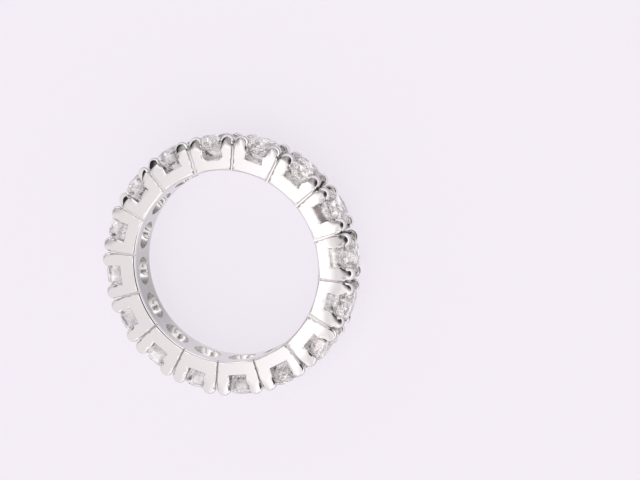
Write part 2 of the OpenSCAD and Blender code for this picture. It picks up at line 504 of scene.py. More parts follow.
# %% The outer face
# Heights counted from the middle of the tip, over which its dome, its roundness and its nose begin
TIP_ZONE = (-0.75, -0.05)
CROSS_ZONE = (-0.7, 0.1)
NOSE_ZONE = (-0.5, 0.3)
NOSE_REACH = 0.6


def prong_lean(x, y, inside, shape):
    """How far the outer face leans in towards the stone.

    Past the crease the lean grows as a line plus a square. A second square rounds it across the
    tip, and a third, of the distance inside the tip's outline, rolls the nose over.
    """
    from_crease = x - shape["crease"] + shape["skew"] * (y - shape["tip_y"])
    past = (from_crease + np.hypot(from_crease, shape["soft"])) / 2
    beside = (y - shape["tip_y"]) / TIP_HALF
    lean = shape["lean"] * past + shape["curl"] * past**2
    lean += shape["cross"] * beside**2 * towards_tip(x, shape, CROSS_ZONE)
    nose = shape["nose"] * np.maximum(NOSE_REACH - inside, 0) ** 2
    return lean + nose * towards_tip(x, shape, NOSE_ZONE)


def plate_front(x, y, shape):
    """Distance of the outer face from mid-width: the half width, less the lean, less the deepest drop."""
    at_groove = groove_drop(groove_distance(x, y, shape), shape["groove"])
    at_bore = drop(np.hypot(x, y) - SLOPE_FOOT, BORE_EDGE)
    at_notch = drop(notch_distance(x, y, shape), NOTCH_EDGE)
    inside = np.maximum(tip_distance(x, y, shape), 0)
    tip = towards_tip(x, shape, TIP_ZONE)
    low = np.maximum(np.maximum(at_groove, at_bore), at_notch) * (1 - tip)
    high = drop(inside, TIP_EDGE) * tip
    return HALF_WIDTH - prong_lean(x, y, inside, shape) - np.maximum(low, high)


print("the prongs' domes reach in", TIP_EDGE[0], "mm from their outline")

# %% The inner face
CHANNEL = HALF_WIDTH - 0.93
BACK_ZONE = (-0.6, 0.0)
# Below these heights the plate's back stays clear of the wall's cup by a hair
BACK_CLEAR = 0.02
BACK_CLEAR_TO = (BORE + 1.4, BORE + 1.6)


def cup_wall(x, y):
    """Distance of the cup's wall from mid-width, by Pythagoras, but never inside the open channel."""
    return np.maximum(np.sqrt(np.maximum(cup_radius(x) ** 2 - y**2, 0)), CHANNEL)


def plate_back(x, y, shape):
    """Distance of the inner face from mid-width: the cup's wall, clear below and round at the tip."""
    at_tip = towards_tip(x, shape, BACK_ZONE)
    rounded = drop(np.maximum(tip_distance(x, y, shape), 0), BACK_EDGE) * at_tip
    return cup_wall(x, y) + rounded + BACK_CLEAR * (1 - smooth_step(x, *BACK_CLEAR_TO))


print("channel behind the prongs", round(2 * CHANNEL, 2), "mm wide")

# %% [markdown]
# ## Half a plate
# A section runs from the outside to the notch across the front, down the notch's wall, back behind
# and up the outer wall. Its points crowd together where the face drops, so that the light rolls
# over the edges. An even grid would need many times more points for the same roundness.

# %% Spacing of the points
# Places near an edge, as shares of the edge's reach
EDGE_SPREAD = np.array([0, 0.1, 0.25, 0.4, 0.54, 0.64, 0.76, 0.9, 1.0, 1.12, 1.35])
MIDDLE_POINTS = 9
WALL_POINTS = 3
# Most of a section that its two edges may take up together
MOST_OF_WIDTH = 0.96


def across(width, outer_reach, inner_reach):
    """Shares of the way from the outer to the inner curve.

    Each end has the edge's spread, scaled down where the two would meet, with even steps between.
    """
    room = EDGE_SPREAD[-1] * (outer_reach + inner_reach)
    fit = np.minimum(1, MOST_OF_WIDTH * width / room)
    near = EDGE_SPREAD * (outer_reach * fit / width)[:, None]
    far = 1 - EDGE_SPREAD[::-1] * (inner_reach * fit / width)[:, None]
    middle = np.linspace(0, 1, MIDDLE_POINTS + 2)[1:-1]
    return np.concatenate([near, blend(near[:, -1:], far[:, :1], middle), far], axis=1)


print("a section has", 2 * (2 * len(EDGE_SPREAD) + MIDDLE_POINTS + WALL_POINTS), "points")

# %% Marks on the front
# Heights counted from the middle of the tip, over which its painted dark outline begins
RIM_ZONE = (-0.7, -0.2)
# Distances from an edge over which each mark fades out
RIM_FADE = (0.01, 0.06)
GROOVE_FADE = (0.02, 0.07)
GLEAM_FADE = (0.04, 0.1)


def front_marks(x, y, shape):
    """Painted dark lines round the prong's outline, a dark line along a dark groove, and the gleam, a
    painted highlight, on the notch's bevel.
    """
    at_tip = towards_tip(x, shape, RIM_ZONE)
    outline = (1 - smooth_step(tip_distance(x, y, shape), *RIM_FADE)) * at_tip
    groove = shape["dark"] * (1 - smooth_step(side_line(x, shape) - y, *GROOVE_FADE))
    gleam = shape["gleam"] * (1 - smooth_step(notch_distance(x, y, shape), *GLEAM_FADE)) * (1 - at_tip)
    return np.maximum(outline, groove), gleam


print("dark lines are", RIM_FADE[1], "mm wide")

# %% The grid of half a plate
# Least width of a section, which keeps the tip, where both curves meet, from dividing by nothing
THINNEST = 0.0001
# Sections that start within this height of the plate's foot have the finger hole's edge
HOLE_BAND = 0.05


def flat_grid(shape):
    """Heights and sides of all points of half a plate, path x section, and the inner curve's heights."""
    inner, outer = half_fork(shape)
    width = np.maximum(np.hypot(*(inner - outer).T), THINNEST)
    tip = towards_tip(outer[:, 0], shape, TIP_ZONE)
    at_hole = outer[:, 0] < SLOPE_FOOT + HOLE_BAND
    outer_reach = blend(np.where(at_hole, BORE_EDGE[0], shape["groove"]), TIP_EDGE[0], tip)
    share = across(width, outer_reach, blend(NOTCH_EDGE[0], TIP_EDGE[0], tip))
    x, y = np.moveaxis(outer[:, None] + (inner - outer)[:, None] * share[..., None], -1, 0)
    return x, y, inner[:, :1]


print("the finger hole's edge is given up to", round(SLOPE_FOOT + HOLE_BAND, 2), "mm from the axis")

# %% Half a plate
# Least metal outside the cup, least clearance below the full width, and least thickness
LEAST_METAL = 0.07
LEAST_BELOW = 0.02
LEAST_THICK = 0.05
# Height over which the notch's floor fades into its sides, and the painted light on it from front to back
FLOOR_FADE = 0.5
FLOOR_LIGHT = np.array([0.5, 1.0, 0.6])


def half_plate(shape):
    """Half a plate as path x section x (height, side, width, filed, rim, lit).

    The faces' functions give the width of each point. On the notch's wall the points go straight
    from face to face, and the floor rises inwards as it goes.
    """
    x, y, inner_x = flat_grid(shape)
    least = np.minimum(cup_wall(x, y) + LEAST_METAL, HALF_WIDTH - LEAST_BELOW)
    front = np.maximum(plate_front(x, y, shape), least)
    back = np.minimum(plate_back(x, y, shape), front - LEAST_THICK)
    steps = np.linspace(0, 1, WALL_POINTS + 2)[1:-1]
    notch_wall = blend(front[:, -1:], back[:, -1:], steps)
    outer_wall = blend(back[:, :1], front[:, :1], steps)

    corner_top = shape["floor"] + shape["corner"]
    on_floor = 1 - smooth_step(inner_x, corner_top, corner_top + FLOOR_FADE)
    risen = shape["seat_rise"] * on_floor
    back_x = x[:, ::-1].copy()
    back_x[:, :1] += risen
    # The rim mark holds the painted dark lines and the notch wall's painted shade; the light mark holds
    # the bevel's painted highlight and the notch floor's painted light
    rim, gleam = front_marks(x, y, shape)
    bare, bare_wall = np.zeros_like(x), np.zeros_like(notch_wall)
    parts = [
        [x, x[:, -1:] + risen * steps, back_x, x[:, :1] + bare_wall],
        [y, y[:, -1:] + bare_wall, y[:, ::-1], y[:, :1] + bare_wall],
        [front, notch_wall, back[:, ::-1], outer_wall],
        [bare, shape["filed"] * on_floor + bare_wall, bare, bare_wall],
        [rim, shape["shade"] + bare_wall, bare, bare_wall],
        [gleam, shape["light"] * on_floor * FLOOR_LIGHT, bare, bare_wall],
    ]
    return np.stack([np.concatenate(part, axis=1) for part in parts], axis=-1)


print("the notch's floor rises up to", max(NOTCHES["seat_rise"]), "mm")

# %% [markdown]
# ## A whole plate in its place
# Two halves meet at the middle of the notch. Each setting has a plate on either side of the band;
# the one below is the mirror image of the one above, with prongs of its own. Mirroring turns a
# shell inside out, so the faces are set by the volume afterwards.

# %% A whole plate
def plate(index, side):
    """Points and quads of a whole plate, side 1 on the upper side of the ring and -1 on the lower."""
    halves = [half_plate(one_prong(index, arm)) * np.array([1, arm, side, 1, 1, 1]) for arm in (1, -1)]
    rows = np.concatenate([halves[0][::-1], halves[1][1:]])
    points = rows.reshape(-1, rows.shape[-1])
    return points, facing_out(points[:, :3], grid_faces(*rows.shape[:2]))


def placed(points, index):
    """The points of a setting, turned by its number of pitches and raised to lie on z = 0."""
    angle = index * PITCH
    x, y, z = points.T
    return np.stack([
        x * math.cos(angle) - y * math.sin(angle),
        x * math.sin(angle) + y * math.cos(angle),
        z + HALF_WIDTH,
    ], axis=-1)


print("settings are", round(math.degrees(PITCH), 1), "degrees apart")

# %% [markdown]
# ## The wall of the ring
# Inside, all the settings share one smooth wall, cut by a long window with round ends under each
# stone. A boolean cut would spoil the smooth wall with long thin faces, so the wall is laid out
# round the windows instead. Round each window it is a grid of loops: the outermost is the
# setting's border, the next shrink towards the window, roll over its edge, climb the cup and come
# back over the top. Neighbours share their borders, and welding them makes one shell.

# %% The border and the window
WINDOW_HALF_LENGTH = 1.27
WINDOW_RADIUS = 0.98
WALL_EDGE = HALF_WIDTH - 0.2
# Points on each side of a setting's border
BORDER_ALONG = 22
BORDER_ACROSS = 20


def border():
    """Points once round a setting's border: u along the ring and v across it, both from -1 to 1."""
    up = np.linspace(-1, 1, BORDER_ACROSS, endpoint=False)
    over = np.linspace(1, -1, BORDER_ALONG, endpoint=False)
    u = np.concatenate([np.ones(BORDER_ACROSS), over, -np.ones(BORDER_ACROSS), -over])
    v = np.concatenate([up, np.ones(BORDER_ALONG), -up, -np.ones(BORDER_ALONG)])
    return u, v


def window_reach(c, s):
    """Distance from the window's middle to its edge in the direction (c, s).

    On a straight side it is radius / |s|. On a round end, whose centre is set off by d, it is
    d |c| + sqrt(radius^2 - (d s)^2).
    """
    c, s = np.abs(c), np.abs(s)
    offset = WINDOW_HALF_LENGTH - WINDOW_RADIUS
    on_side = WINDOW_RADIUS / np.maximum(s, THINNEST)
    on_end = offset * c + np.sqrt(np.maximum(WINDOW_RADIUS**2 - (offset * s) ** 2, 0))
    return np.where(c * WINDOW_RADIUS <= offset * s, on_side, on_end)


print("window reaches along and across", window_reach(1.0, 0.0).round(2), window_reach(0.0, 1.0).round(2))

# %% The finger hole
# A hair wider than the packed hole, and opening gently from this width outwards
BORE_CLEAR = 0.006
BORE_OPENING = 0.054
OPENING_FROM = 0.9


def bore_radius(width):
    """Radius of the finger hole: level at mid-width, and opening as a square towards both sides."""
    outwards = np.clip((np.abs(width) - OPENING_FROM) / (WALL_EDGE - OPENING_FROM), 0, 1)
    return BORE + BORE_CLEAR + BORE_OPENING * outwards**2


def on_ring(radius, angle, width):
    """Points by their radius and angle about the ring's axis and their place across the band."""
    across_band = np.broadcast_to(width, np.shape(radius))
    return np.stack([radius * np.cos(angle), radius * np.sin(angle), across_band], axis=-1)


print("finger hole", round(float(2 * bore_radius(0.0)), 3), "mm at mid-width")

# %% Loops round a window
WINDOW_ROUND = 0.035
EDGE_LOOPS = 7
# Shares of the way from the border to the window, and from the window up to the rim
BORE_STEPS = np.array([0, 0.03, 0.12, 0.25, 0.4, 0.55, 0.7, 0.82, 0.92, 0.97])[:, None]
CLIMB_STEPS = np.array([0.06, 0.15, 0.28, 0.42, 0.56, 0.7, 0.82, 0.92, 0.97])[:, None]
EDGE_TURN = np.linspace(0, math.pi / 2, EDGE_LOOPS)[:, None]
# Heights between which the window's straight wall becomes the round cup
CUP_FROM = (BORE + 0.35, BORE + 0.9)


def bore_loops(u, v, reach, c, s):
    """The finger hole from the border to the window: straight steps in angle and in width."""
    near_y, near_z = (reach + WINDOW_ROUND) * c, (reach + WINDOW_ROUND) * s
    near_angle = np.arcsin(near_y / bore_radius(near_z))
    angle = blend(u * HALF_PITCH, near_angle, BORE_STEPS)
    width = blend(v * WALL_EDGE, near_z, BORE_STEPS)
    return on_ring(bore_radius(width), angle, width)


def edge_loops(reach, c, s):
    """The window's edge: a quarter circle that turns from the finger hole into the window."""
    out = reach + WINDOW_ROUND * (1 - np.sin(EDGE_TURN))
    y, z = out * c, out * s
    x = np.sqrt(bore_radius(z) ** 2 - y**2) + WINDOW_ROUND * (1 - np.cos(EDGE_TURN))
    return np.stack([x, y, z], axis=-1)


def climb_loops(foot, rim, reach, c, s):
    """The hollow's wall from foot to rim: the window's outline, blended into the cup's circle."""
    x = blend(foot, rim, CLIMB_STEPS)
    out = blend(reach, cup_radius(x), smooth_step(x, *CUP_FROM))
    return np.stack([x, out * c, out * s], axis=-1)


print("loops on the hole, edge and climb:", len(BORE_STEPS), EDGE_LOOPS, len(CLIMB_STEPS))

# %% One window's share of the wall
WALL_TOP = BORE + 1.5
# How far the top stays inside the wall's edge and below the notch's floor, and the width of its lip
TOP_INSET = 0.1
BELOW_FLOOR = 0.02
LIP = 0.03
# Distances from the setting's middle over which the top goes from the notch's floor to full height
TOP_ZONE = (0.82, 0.98)
# How far along the ring the top meets the cup, and the radius of the last loop, inside the metal
RIM_SIDE = 1.2
INSIDE_RADIUS = SLOPE_FOOT + 0.2
# Shares of the way from the rim out to the border, and from there down to the finger hole
TOP_STEPS = np.array([0, 0.1, 0.3, 0.6, 1.0])[:, None, None]
DOWN_STEPS = np.array([0.3, 0.85])[:, None, None]


def wall_share(floor):
    """The wall round one window as a list of stacks of loops, for a notch floor at that height.

    The top lies just below the notch's floor and rises to full height below the prongs. The rim's
    full height is where the top's cylinder meets the cup's side, by Pythagoras.
    """
    u, v = border()
    bearing = np.arctan2(v, u)
    c, s = np.cos(bearing), np.sin(bearing)
    reach = window_reach(c, s)
    edge = edge_loops(reach, c, s)
    rim_high = math.sqrt(WALL_TOP**2 - RIM_SIDE**2)
    rim = blend(floor - BELOW_FLOOR, rim_high, smooth_step(np.abs(cup_radius(floor) * c), *TOP_ZONE))
    lip_out = cup_radius(rim) + LIP
    lip = np.stack([rim, lip_out * c, lip_out * s], axis=-1)
    angle = u * HALF_PITCH
    width = np.clip(v * WALL_EDGE, -WALL_EDGE + TOP_INSET, WALL_EDGE - TOP_INSET)
    top = blend(floor - BELOW_FLOOR, WALL_TOP, smooth_step(np.abs(WALL_TOP * np.sin(angle)), *TOP_ZONE))
    border_top = on_ring(top, angle, width)
    inside = on_ring(np.full_like(angle, INSIDE_RADIUS), angle, width)
    return [
        bore_loops(u, v, reach, c, s),
        edge,
        climb_loops(edge[-1, :, 0], rim, reach, c, s),
        blend(lip, border_top, TOP_STEPS),
        blend(border_top, inside, DOWN_STEPS),
    ]


print("loops of each stack", [len(stack) for stack in wall_share(NOTCHES["floor"][0])])

# %% [markdown]
# ## Painted light, painted shade and wear on the wall
# The wall of the cup below each stone is out of a polishing wheel's reach, so it is dull. On it are
# painted a bright band of light where it faces the lamp, shade at its grey ends, and a dark reflection of
# the stone's culet in the band. The finger hole itself is a little duller than the rest where the ring has
# had wear, and it is painted darker there as shade. All this could be painted in an image, but a number a
# point does it without one, and stays with the shape.

# %% Light and shade in a window
# Painted light and painted shade at places along the window, and painted light on the loops of the climb
WINDOW_PLACES = [-1.2, -0.9, -0.75, -0.5, -0.2, 0.0, 0.2, 0.6, 0.75, 0.9, 1.2]
LIGHT_ALONG = [0.0, 0.05, 0.15, 0.3, 0.4, 0.5, 1.0, 1.0, 0.25, 0.1, 0.0]
SHADE_ALONG = [0.8, 0.65, 0.5, 0.2, 0.0, 0.0, 0.0, 0.0, 0.4, 0.5, 0.8]
CLIMB_LIGHT = (0.8, 1, 1, 1, 1, 1, 0.7, 0.3, 0)
# The culet's painted dark reflection in the wall: on which loops, and where along the window. It is more
# than 1, so that it stays dark below stones whose window ends are pale
CLIMB_SPOT = (0.2, 1, 1, 1, 0.4, 0, 0, 0, 0)
SPOT_PLACES = [-0.05, 0.08, 0.32, 0.42]
SPOT_ALONG = [0.0, 1.3, 1.3, 0.0]
print("the culet's image lies", SPOT_PLACES[0], "to", SPOT_PLACES[-1], "mm along the window")

# %% Marks on the wall
# Loops of the window's edge that take the finger hole's wear and painted shade, and where across it they
# fade
WORN_EDGE_LOOPS = 3
WORN_FADE = (WALL_EDGE - 0.2, WALL_EDGE - 0.05)


def wall_marks(stacks):
    """Marks of one share, as loops x points.

    The climb is dull, with painted light and painted shade by place along the ring and the culet's painted
    dark reflection as a spot; wear and painted shade on the hole, fading out at the sides; filing on the
    top.
    """
    bore, edge, climb, top, down = (len(stack) for stack in stacks)
    _, y, z = np.moveaxis(np.concatenate(stacks), -1, 0)
    bare = np.zeros_like(y)
    loop = np.arange(len(y))[:, None]
    around_climb = (bore + edge, top + down)
    lit, spot = (np.pad(values, around_climb)[:, None] for values in (CLIMB_LIGHT, CLIMB_SPOT))
    dull = np.pad(np.ones(climb), around_climb)[:, None] + bare
    spot = spot * np.interp(y, SPOT_PLACES, SPOT_ALONG)
    # The light mark is the painted bright band; the rim mark is painted shade at the ends and the culet's
    # painted dark reflection
    return {
        "lit": lit * np.interp(y, WINDOW_PLACES, LIGHT_ALONG) * np.maximum(1 - spot, 0),
        "rim": np.maximum(dull * np.interp(y, WINDOW_PLACES, SHADE_ALONG), spot),
        "dull": dull,
        "worn": (loop < bore + WORN_EDGE_LOOPS) * (1 - smooth_step(np.abs(z), *WORN_FADE)),
        "filed": (loop >= bore + edge + climb) + bare,
    }


print("wear fades between", [round(v, 2) for v in WORN_FADE], "mm from mid-width")

# %% [markdown]
# ## One shell from sixteen shares
# The last strip of a share goes from the loop inside the metal back to the border at the finger
# hole, which closes it. Between two neighbours both shares would have such strips, so there they
# are left out, and the wall is hollow all the way round like one bent tube.

# %% Joining the shares
def share_faces(loops, around):
    """Quads of one share: the grid, the closing strip, and none of the strips down between neighbours."""
    last = np.stack([np.arange(around), np.roll(np.arange(around), -1)], axis=-1)
    closing = np.concatenate([last + (loops - 1) * around, last[:, ::-1]], axis=1)
    quads = np.concatenate([grid_faces(loops, around), closing])
    row, column = np.divmod(quads[:, 0], around)
    far_side = (column >= BORDER_ACROSS + BORDER_ALONG) & (column < around - BORDER_ALONG)
    between = (column < BORDER_ACROSS) | far_side
    return quads[~(between & (row > loops - 2 - len(DOWN_STEPS)))]


def ring_wall():
    """Points, quads and marks of all the shares; the marks grow and fade with the place on the ring."""
    stacks = [wall_share(floor) for floor in NOTCHES["floor"]]
    local = [np.concatenate(each) for each in stacks]
    loops, around = local[0].shape[:2]
    points = np.concatenate([placed(each.reshape(-1, 3), k) for k, each in enumerate(local)])
    by_share = [wall_marks(each) for each in stacks]
    marks = {name: np.concatenate([each[name].ravel() for each in by_share]) for name in by_share[0]}
    marks["filed"] *= np.repeat(FILING_PAINTED_LIGHT_AND_SHADE["filed"], loops * around)
    turns = np.arctan2(points[:, 1], points[:, 0]) / PITCH
    # By place round the ring: wear with painted shade on the hole, and the windows' painted shade and
    # painted light
    worn, dark, lit = (
        np.interp(turns, np.arange(COUNT), values, period=COUNT)
        for values in (BORE_WORN_AND_SHADED, WINDOW_PAINTED_SHADE, WINDOW_PAINTED_LIGHT)
    )
    marks["worn"] *= worn
    marks["lit"] = np.clip(marks["lit"] + lit * marks["dull"] * (1 - marks["rim"]), 0, 1)
    marks["rim"] *= dark
    one = share_faces(loops, around)
    quads = np.concatenate([one + k * loops * around for k in range(COUNT)])
    return points, facing_out(points, quads), marks


print("points once round a border", len(border()[0]))

# %% [markdown]
# ## Shader maths
# A material is a formula on places, but built node by node it is hard to read. So a small class
# wraps an output socket and lets it be added and multiplied as a number is, and one method makes
# every other node from its type, its settings and its inputs.

# %% Values and ramps
def math_method(operation, flipped=False):
    """A method that adds one Math node on a value and what is beside it; flipped, that comes first."""
    def method(self, other):
        """One Math node on two values, or on a value and a number."""
        first, second = (other, self) if flipped else (self, other)
        return self.tree.node("ShaderNodeMath", {"operation": operation}, {0: first, 1: second})
    return method


class Value:
    """One output socket. Adding, subtracting or multiplying it adds a Math node."""

    def __init__(self, tree, socket):
        """Keeps the tree that the socket is in, and the socket."""
        self.tree = tree
        self.socket = socket

    def other(self, output):
        """Another output of the same node."""
        return Value(self.tree, self.socket.node.outputs[output])

    # Each operator with its reflected form, so that 1 - mask works as well as mask - 1
    __add__, __radd__ = math_method("ADD"), math_method("ADD", flipped=True)
    __sub__, __rsub__ = math_method("SUBTRACT"), math_method("SUBTRACT", flipped=True)
    __mul__, __rmul__ = math_method("MULTIPLY"), math_method("MULTIPLY", flipped=True)


def set_stops(elements, stops):
    """Puts a colour ramp's stops, pairs of place and colour, in order: the first two are there already."""
    for place, _ in stops[2:]:
        elements.new(place)
    for element, (place, _) in zip(elements, stops):
        element.position = place
    for element, (_, colour) in zip(elements, stops):
        element.color = (*colour, 1)


print("operators of a number on the left:", [name for name in vars(Value) if name.startswith("__r")])

# %% Node trees
# The colour sockets of a Mix node share their names with others, so they go by number
MIX_FIRST = 6
MIX_SECOND = 7
MIX_RESULT = 2


class Tree:
    """The nodes of a material or a world, emptied first."""

    def __init__(self, owner):
        """Takes the node tree of its owner."""
        owner.use_nodes = True
        self.nodes = owner.node_tree.nodes
        self.links = owner.node_tree.links
        self.nodes.clear()

    def node(self, kind, settings=None, inputs=None, output=0):
        """One node: its settings are set first, then each input gets a link or a constant.

        It gives the named output as a value, or nothing if the node ends the tree.
        """
        made = self.nodes.new(kind)
        for name, value in (settings or {}).items():
            if name == "stops":
                set_stops(made.color_ramp.elements, value)
            else:
                setattr(made, name, value)
        for name, value in (inputs or {}).items():
            if isinstance(value, Value):
                self.links.new(value.socket, made.inputs[name])
            else:
                made.inputs[name].default_value = value
        return Value(self, made.outputs[output]) if made.outputs else None

    def ramp(self, value, stops):
        """A colour that runs through the stops as the value goes from 0 to 1."""
        return self.node("ShaderNodeValToRGB", {"stops": stops}, {"Fac": value})

    def mix(self, share, first, second, how="MIX"):
        """Two colours mixed, or multiplied, by a share."""
        settings = {"data_type": "RGBA", "blend_type": how}
        inputs = {"Factor": share, MIX_FIRST: first, MIX_SECOND: second}
        return self.node("ShaderNodeMix", settings, inputs, MIX_RESULT)

    def vector(self, operation, first, second, output="Vector"):
        """A Vector Math node; a dot product or a length comes out of Value."""
        return self.node("ShaderNodeVectorMath", {"operation": operation}, {0: first, 1: second}, output)

    def share_between(self, value, low, high):
        """0 at low, 1 at high and a straight line between: (value - low) / (high - low)."""
        return self.node("ShaderNodeMapRange", None, {"Value": value, "From Min": low, "From Max": high})

    def finish(self, shader, kind="ShaderNodeOutputMaterial"):
        """Joins the shader to an output node of that kind."""
        self.node(kind, None, {"Surface": shader})


def new_material(name):
    """A new material, and the tree of its nodes."""
    material = bpy.data.materials.new(name)
    return material, Tree(material)


print("a tree can make", [name for name in vars(Tree) if not name.startswith("__")])

# %% [markdown]
# ## White gold
# Polished white gold mirrors the room, so most of what is seen is the light around it. What makes it metal
# and not chrome is small: a faintly warm cast, clouds in the polish, hair scratches, file strokes and dull
# walls where no polishing wheel reaches, and a softer skin where the ring has had wear, which is also
# painted darker as shade. Clouds and scratches are noise in the object's own space, stretched for the
# scratches; the rest is masked by the marks, so that filing and wear lie where a tool or a finger would
# leave them, and painted shade, painted dark lines and painted light lie on the edges, notches and windows
# that the marks pick out.

# %% The grain of the metal
# The scales along x, y and z of each grain, and its detail
GRAINS = {
    "cloud": ((350, 350, 350), 2.0),
    "scratch": ((900, 9000, 3000), 3.0),
    "stroke": ((14000, 14000, 900), 2.0),
}


def grain(tree, place, scale, detail):
    """Noise on a space that is stretched by three scales, for clouds, scratches and strokes."""
    stretched = tree.node("ShaderNodeMapping", None, {"Vector": place, "Scale": scale})
    inputs = {"Vector": stretched, "Scale": 1.0, "Detail": detail}
    return tree.node("ShaderNodeTexNoise", None, inputs, "Fac")


print("grains of the metal:", list(GRAINS))

# %% White gold
GOLD_CLOUDS = [(0.35, (0.80, 0.784, 0.775)), (0.65, (0.815, 0.804, 0.785))]
# Tints by mark: filing greys the metal; wear is also painted shade; rim darkens the painted dark lines and
# shade, the culet's painted reflection and the dark line along some grooves
GOLD_TINTS = {"filed": (0.62, 0.60, 0.61, 1), "worn": (0.58, 0.60, 0.595, 1), "rim": (0.45, 0.44, 0.45, 1)}
GOLD_RELIEF = {"scratch": 0.4, "cloud": 0.2, "stroke": 3.0}
GOLD_ROUGHNESS = {"polished": 0.04, "cloud": 0.06, "filed": 0.22, "worn": 0.09, "dull": 0.3}
RELIEF_STRENGTH = 0.12
RELIEF_DEPTH = 0.00002
NO_LIGHT = (0, 0, 0, 1)
# Painted light: where the light mark is set, the metal glows in this colour and strength
PAINTED_LIGHT_COLOUR = (1, 1, 0.98, 1)
PAINTED_LIGHT_STRENGTH = 0.7


def white_gold():
    """Gold in the clouds' colour times each mark's tint, with wear and painted shade darker and painted
    light glowing; rougher where it is filed, has wear or is dull.
    """
    material, tree = new_material("white gold")
    place = tree.node("ShaderNodeTexCoord", output="Object")
    cloud, scratch, stroke = (grain(tree, place, *GRAINS[name]) for name in GRAINS)
    mark = {
        name: tree.node("ShaderNodeAttribute", {"attribute_name": name}, output="Fac")
        for name in ("filed", "worn", "rim", "lit", "dull")
    }
    colour = tree.ramp(cloud, GOLD_CLOUDS)
    for name, tint in GOLD_TINTS.items():
        colour = tree.mix(mark[name], colour, tint, "MULTIPLY")
    roughness = GOLD_ROUGHNESS["polished"] + cloud * GOLD_ROUGHNESS["cloud"]
    for name in ("filed", "worn", "dull"):
        roughness += mark[name] * GOLD_ROUGHNESS[name]
    relief = scratch * GOLD_RELIEF["scratch"] + cloud * GOLD_RELIEF["cloud"]
    relief += stroke * mark["filed"] * GOLD_RELIEF["stroke"]
    bump = tree.node("ShaderNodeBump", None, {
        "Strength": RELIEF_STRENGTH, "Distance": RELIEF_DEPTH, "Height": relief})
    # The emission is painted light where the light mark is set
    shader = tree.node("ShaderNodeBsdfPrincipled", None, {
        "Base Color": colour, "Metallic": 1.0, "Roughness": roughness, "Normal": bump,
        "Emission Color": tree.mix(mark["lit"], NO_LIGHT, PAINTED_LIGHT_COLOUR), "Emission Strength": PAINTED_LIGHT_STRENGTH})
    tree.finish(shader)
    return material


gold = white_gold()
print("white gold has", len(gold.node_tree.nodes), "nodes")

# %% [markdown]
# ## Diamond
# A brilliant bends light so strongly that most of it is thrown back and forth between its facets. The
# packed stones have the large facets, and real refraction does most of the work. What is missing is the
# scatter of a slightly imperfect cut: in the photograph the stones seen from above break up into small
# facets, each a little darker or lighter than the next. Cutting those into the mesh would change the
# stone's shape, so the normal is tilted a little instead, by a different slope in each cell of a Voronoi
# pattern; some cells are also painted darker as shade, and some glow as painted glints. The stones are
# tinted darker out towards the table as painted shade. Stones seen from the side are left clean: they are
# painted a little greyer as shade, with a few larger patches of painted light.

# %% Broken facets
FACET_CELLS = 2700.0
FACET_DEPTH = 0.0003
FACET_SLOPE = 1000.0
MIDDLE_GREY = (0.5, 0.5, 0.5)
# Only in the crown, by distance from the ring's axis, and only on the +X side of the ring
CROWN_FROM = 0.0100
CROWN_TO = 0.0110
BROKEN_SIDE = (1, 0.1, 0)
BROKEN_FROM = -0.002
BROKEN_TO = 0.003


def random_cells(tree, place, scale):
    """A random colour in each cell of a Voronoi pattern."""
    return tree.node("ShaderNodeTexVoronoi", None, {"Vector": place, "Scale": scale}, "Color")


def facet_height(tree, place):
    """A plane with a random slope through each cell's centre: (random - 1/2) . (place - centre)."""
    random = random_cells(tree, place, FACET_CELLS)
    slope = tree.vector("SUBTRACT", random, MIDDLE_GREY)
    from_centre = tree.vector("SUBTRACT", place, random.other("Position"))
    return tree.vector("DOT_PRODUCT", slope, from_centre, "Value")


def to_broken_side(tree, place):
    """1 on the +X side of the ring, fading to 0 on the other side."""
    to_side = tree.vector("DOT_PRODUCT", place, BROKEN_SIDE, "Value")
    return tree.share_between(to_side, BROKEN_FROM, BROKEN_TO)


print("broken facets are about", round(1 / FACET_CELLS / MM, 2), "mm across")

# %% The stones' colours
DIAMOND_BEND = 2.417
SPARKLE_CELLS = 2800.0
CLEAN_CELLS = 1500.0
# Strength of the painted glints
SPARKLE_GLOW = 0.24
# Painted shade: tint by distance from the ring's axis, darker from deep in the stone out to its table, and
# the greyer tint of a clean stone
STONE_FROM = 0.0095
STONE_TO = 0.0120
STONE_TINT = [
    (0.0, (0.995, 0.985, 0.975)), (0.45, (0.99, 0.98, 0.965)),
    (0.6, (0.89, 0.872, 0.855)), (0.9, (0.80, 0.785, 0.77))]
CLEAN_TINT = (0.76, 0.75, 0.745, 1)
# Painted glints: light of the cells by each cell's random number, where the facets are broken and where
# they are clean
SPARKLE = [
    (0.0, (0.0, 0.0, 0.0)), (0.45, (0.03, 0.028, 0.025)),
    (0.62, (0.2, 0.19, 0.18)), (0.8, (1.0, 0.95, 0.93))]
CLEAN_SPARKLE = [
    (0.0, (0.0, 0.0, 0.0)), (0.5, (0.04, 0.04, 0.04)),
    (0.6, (0.6, 0.585, 0.58)), (1.0, (0.9, 0.88, 0.87))]
# Painted shade of the cells where the facets are broken
DARK_CELLS = [(0.0, (0.45, 0.44, 0.43)), (0.3, (0.72, 0.71, 0.70)), (0.36, (1.0, 1.0, 1.0))]
patch_sizes = [round(1 / cells / MM, 2) for cells in (SPARKLE_CELLS, CLEAN_CELLS)]
print("light patches are", patch_sizes, "mm across")

# %% The stones' material
def cell_number(tree, place, scale):
    """A random number from 0 to 1 in each cell: the red of its random colour."""
    return tree.node("ShaderNodeSeparateColor", None, {"Color": random_cells(tree, place, scale)}, "Red")


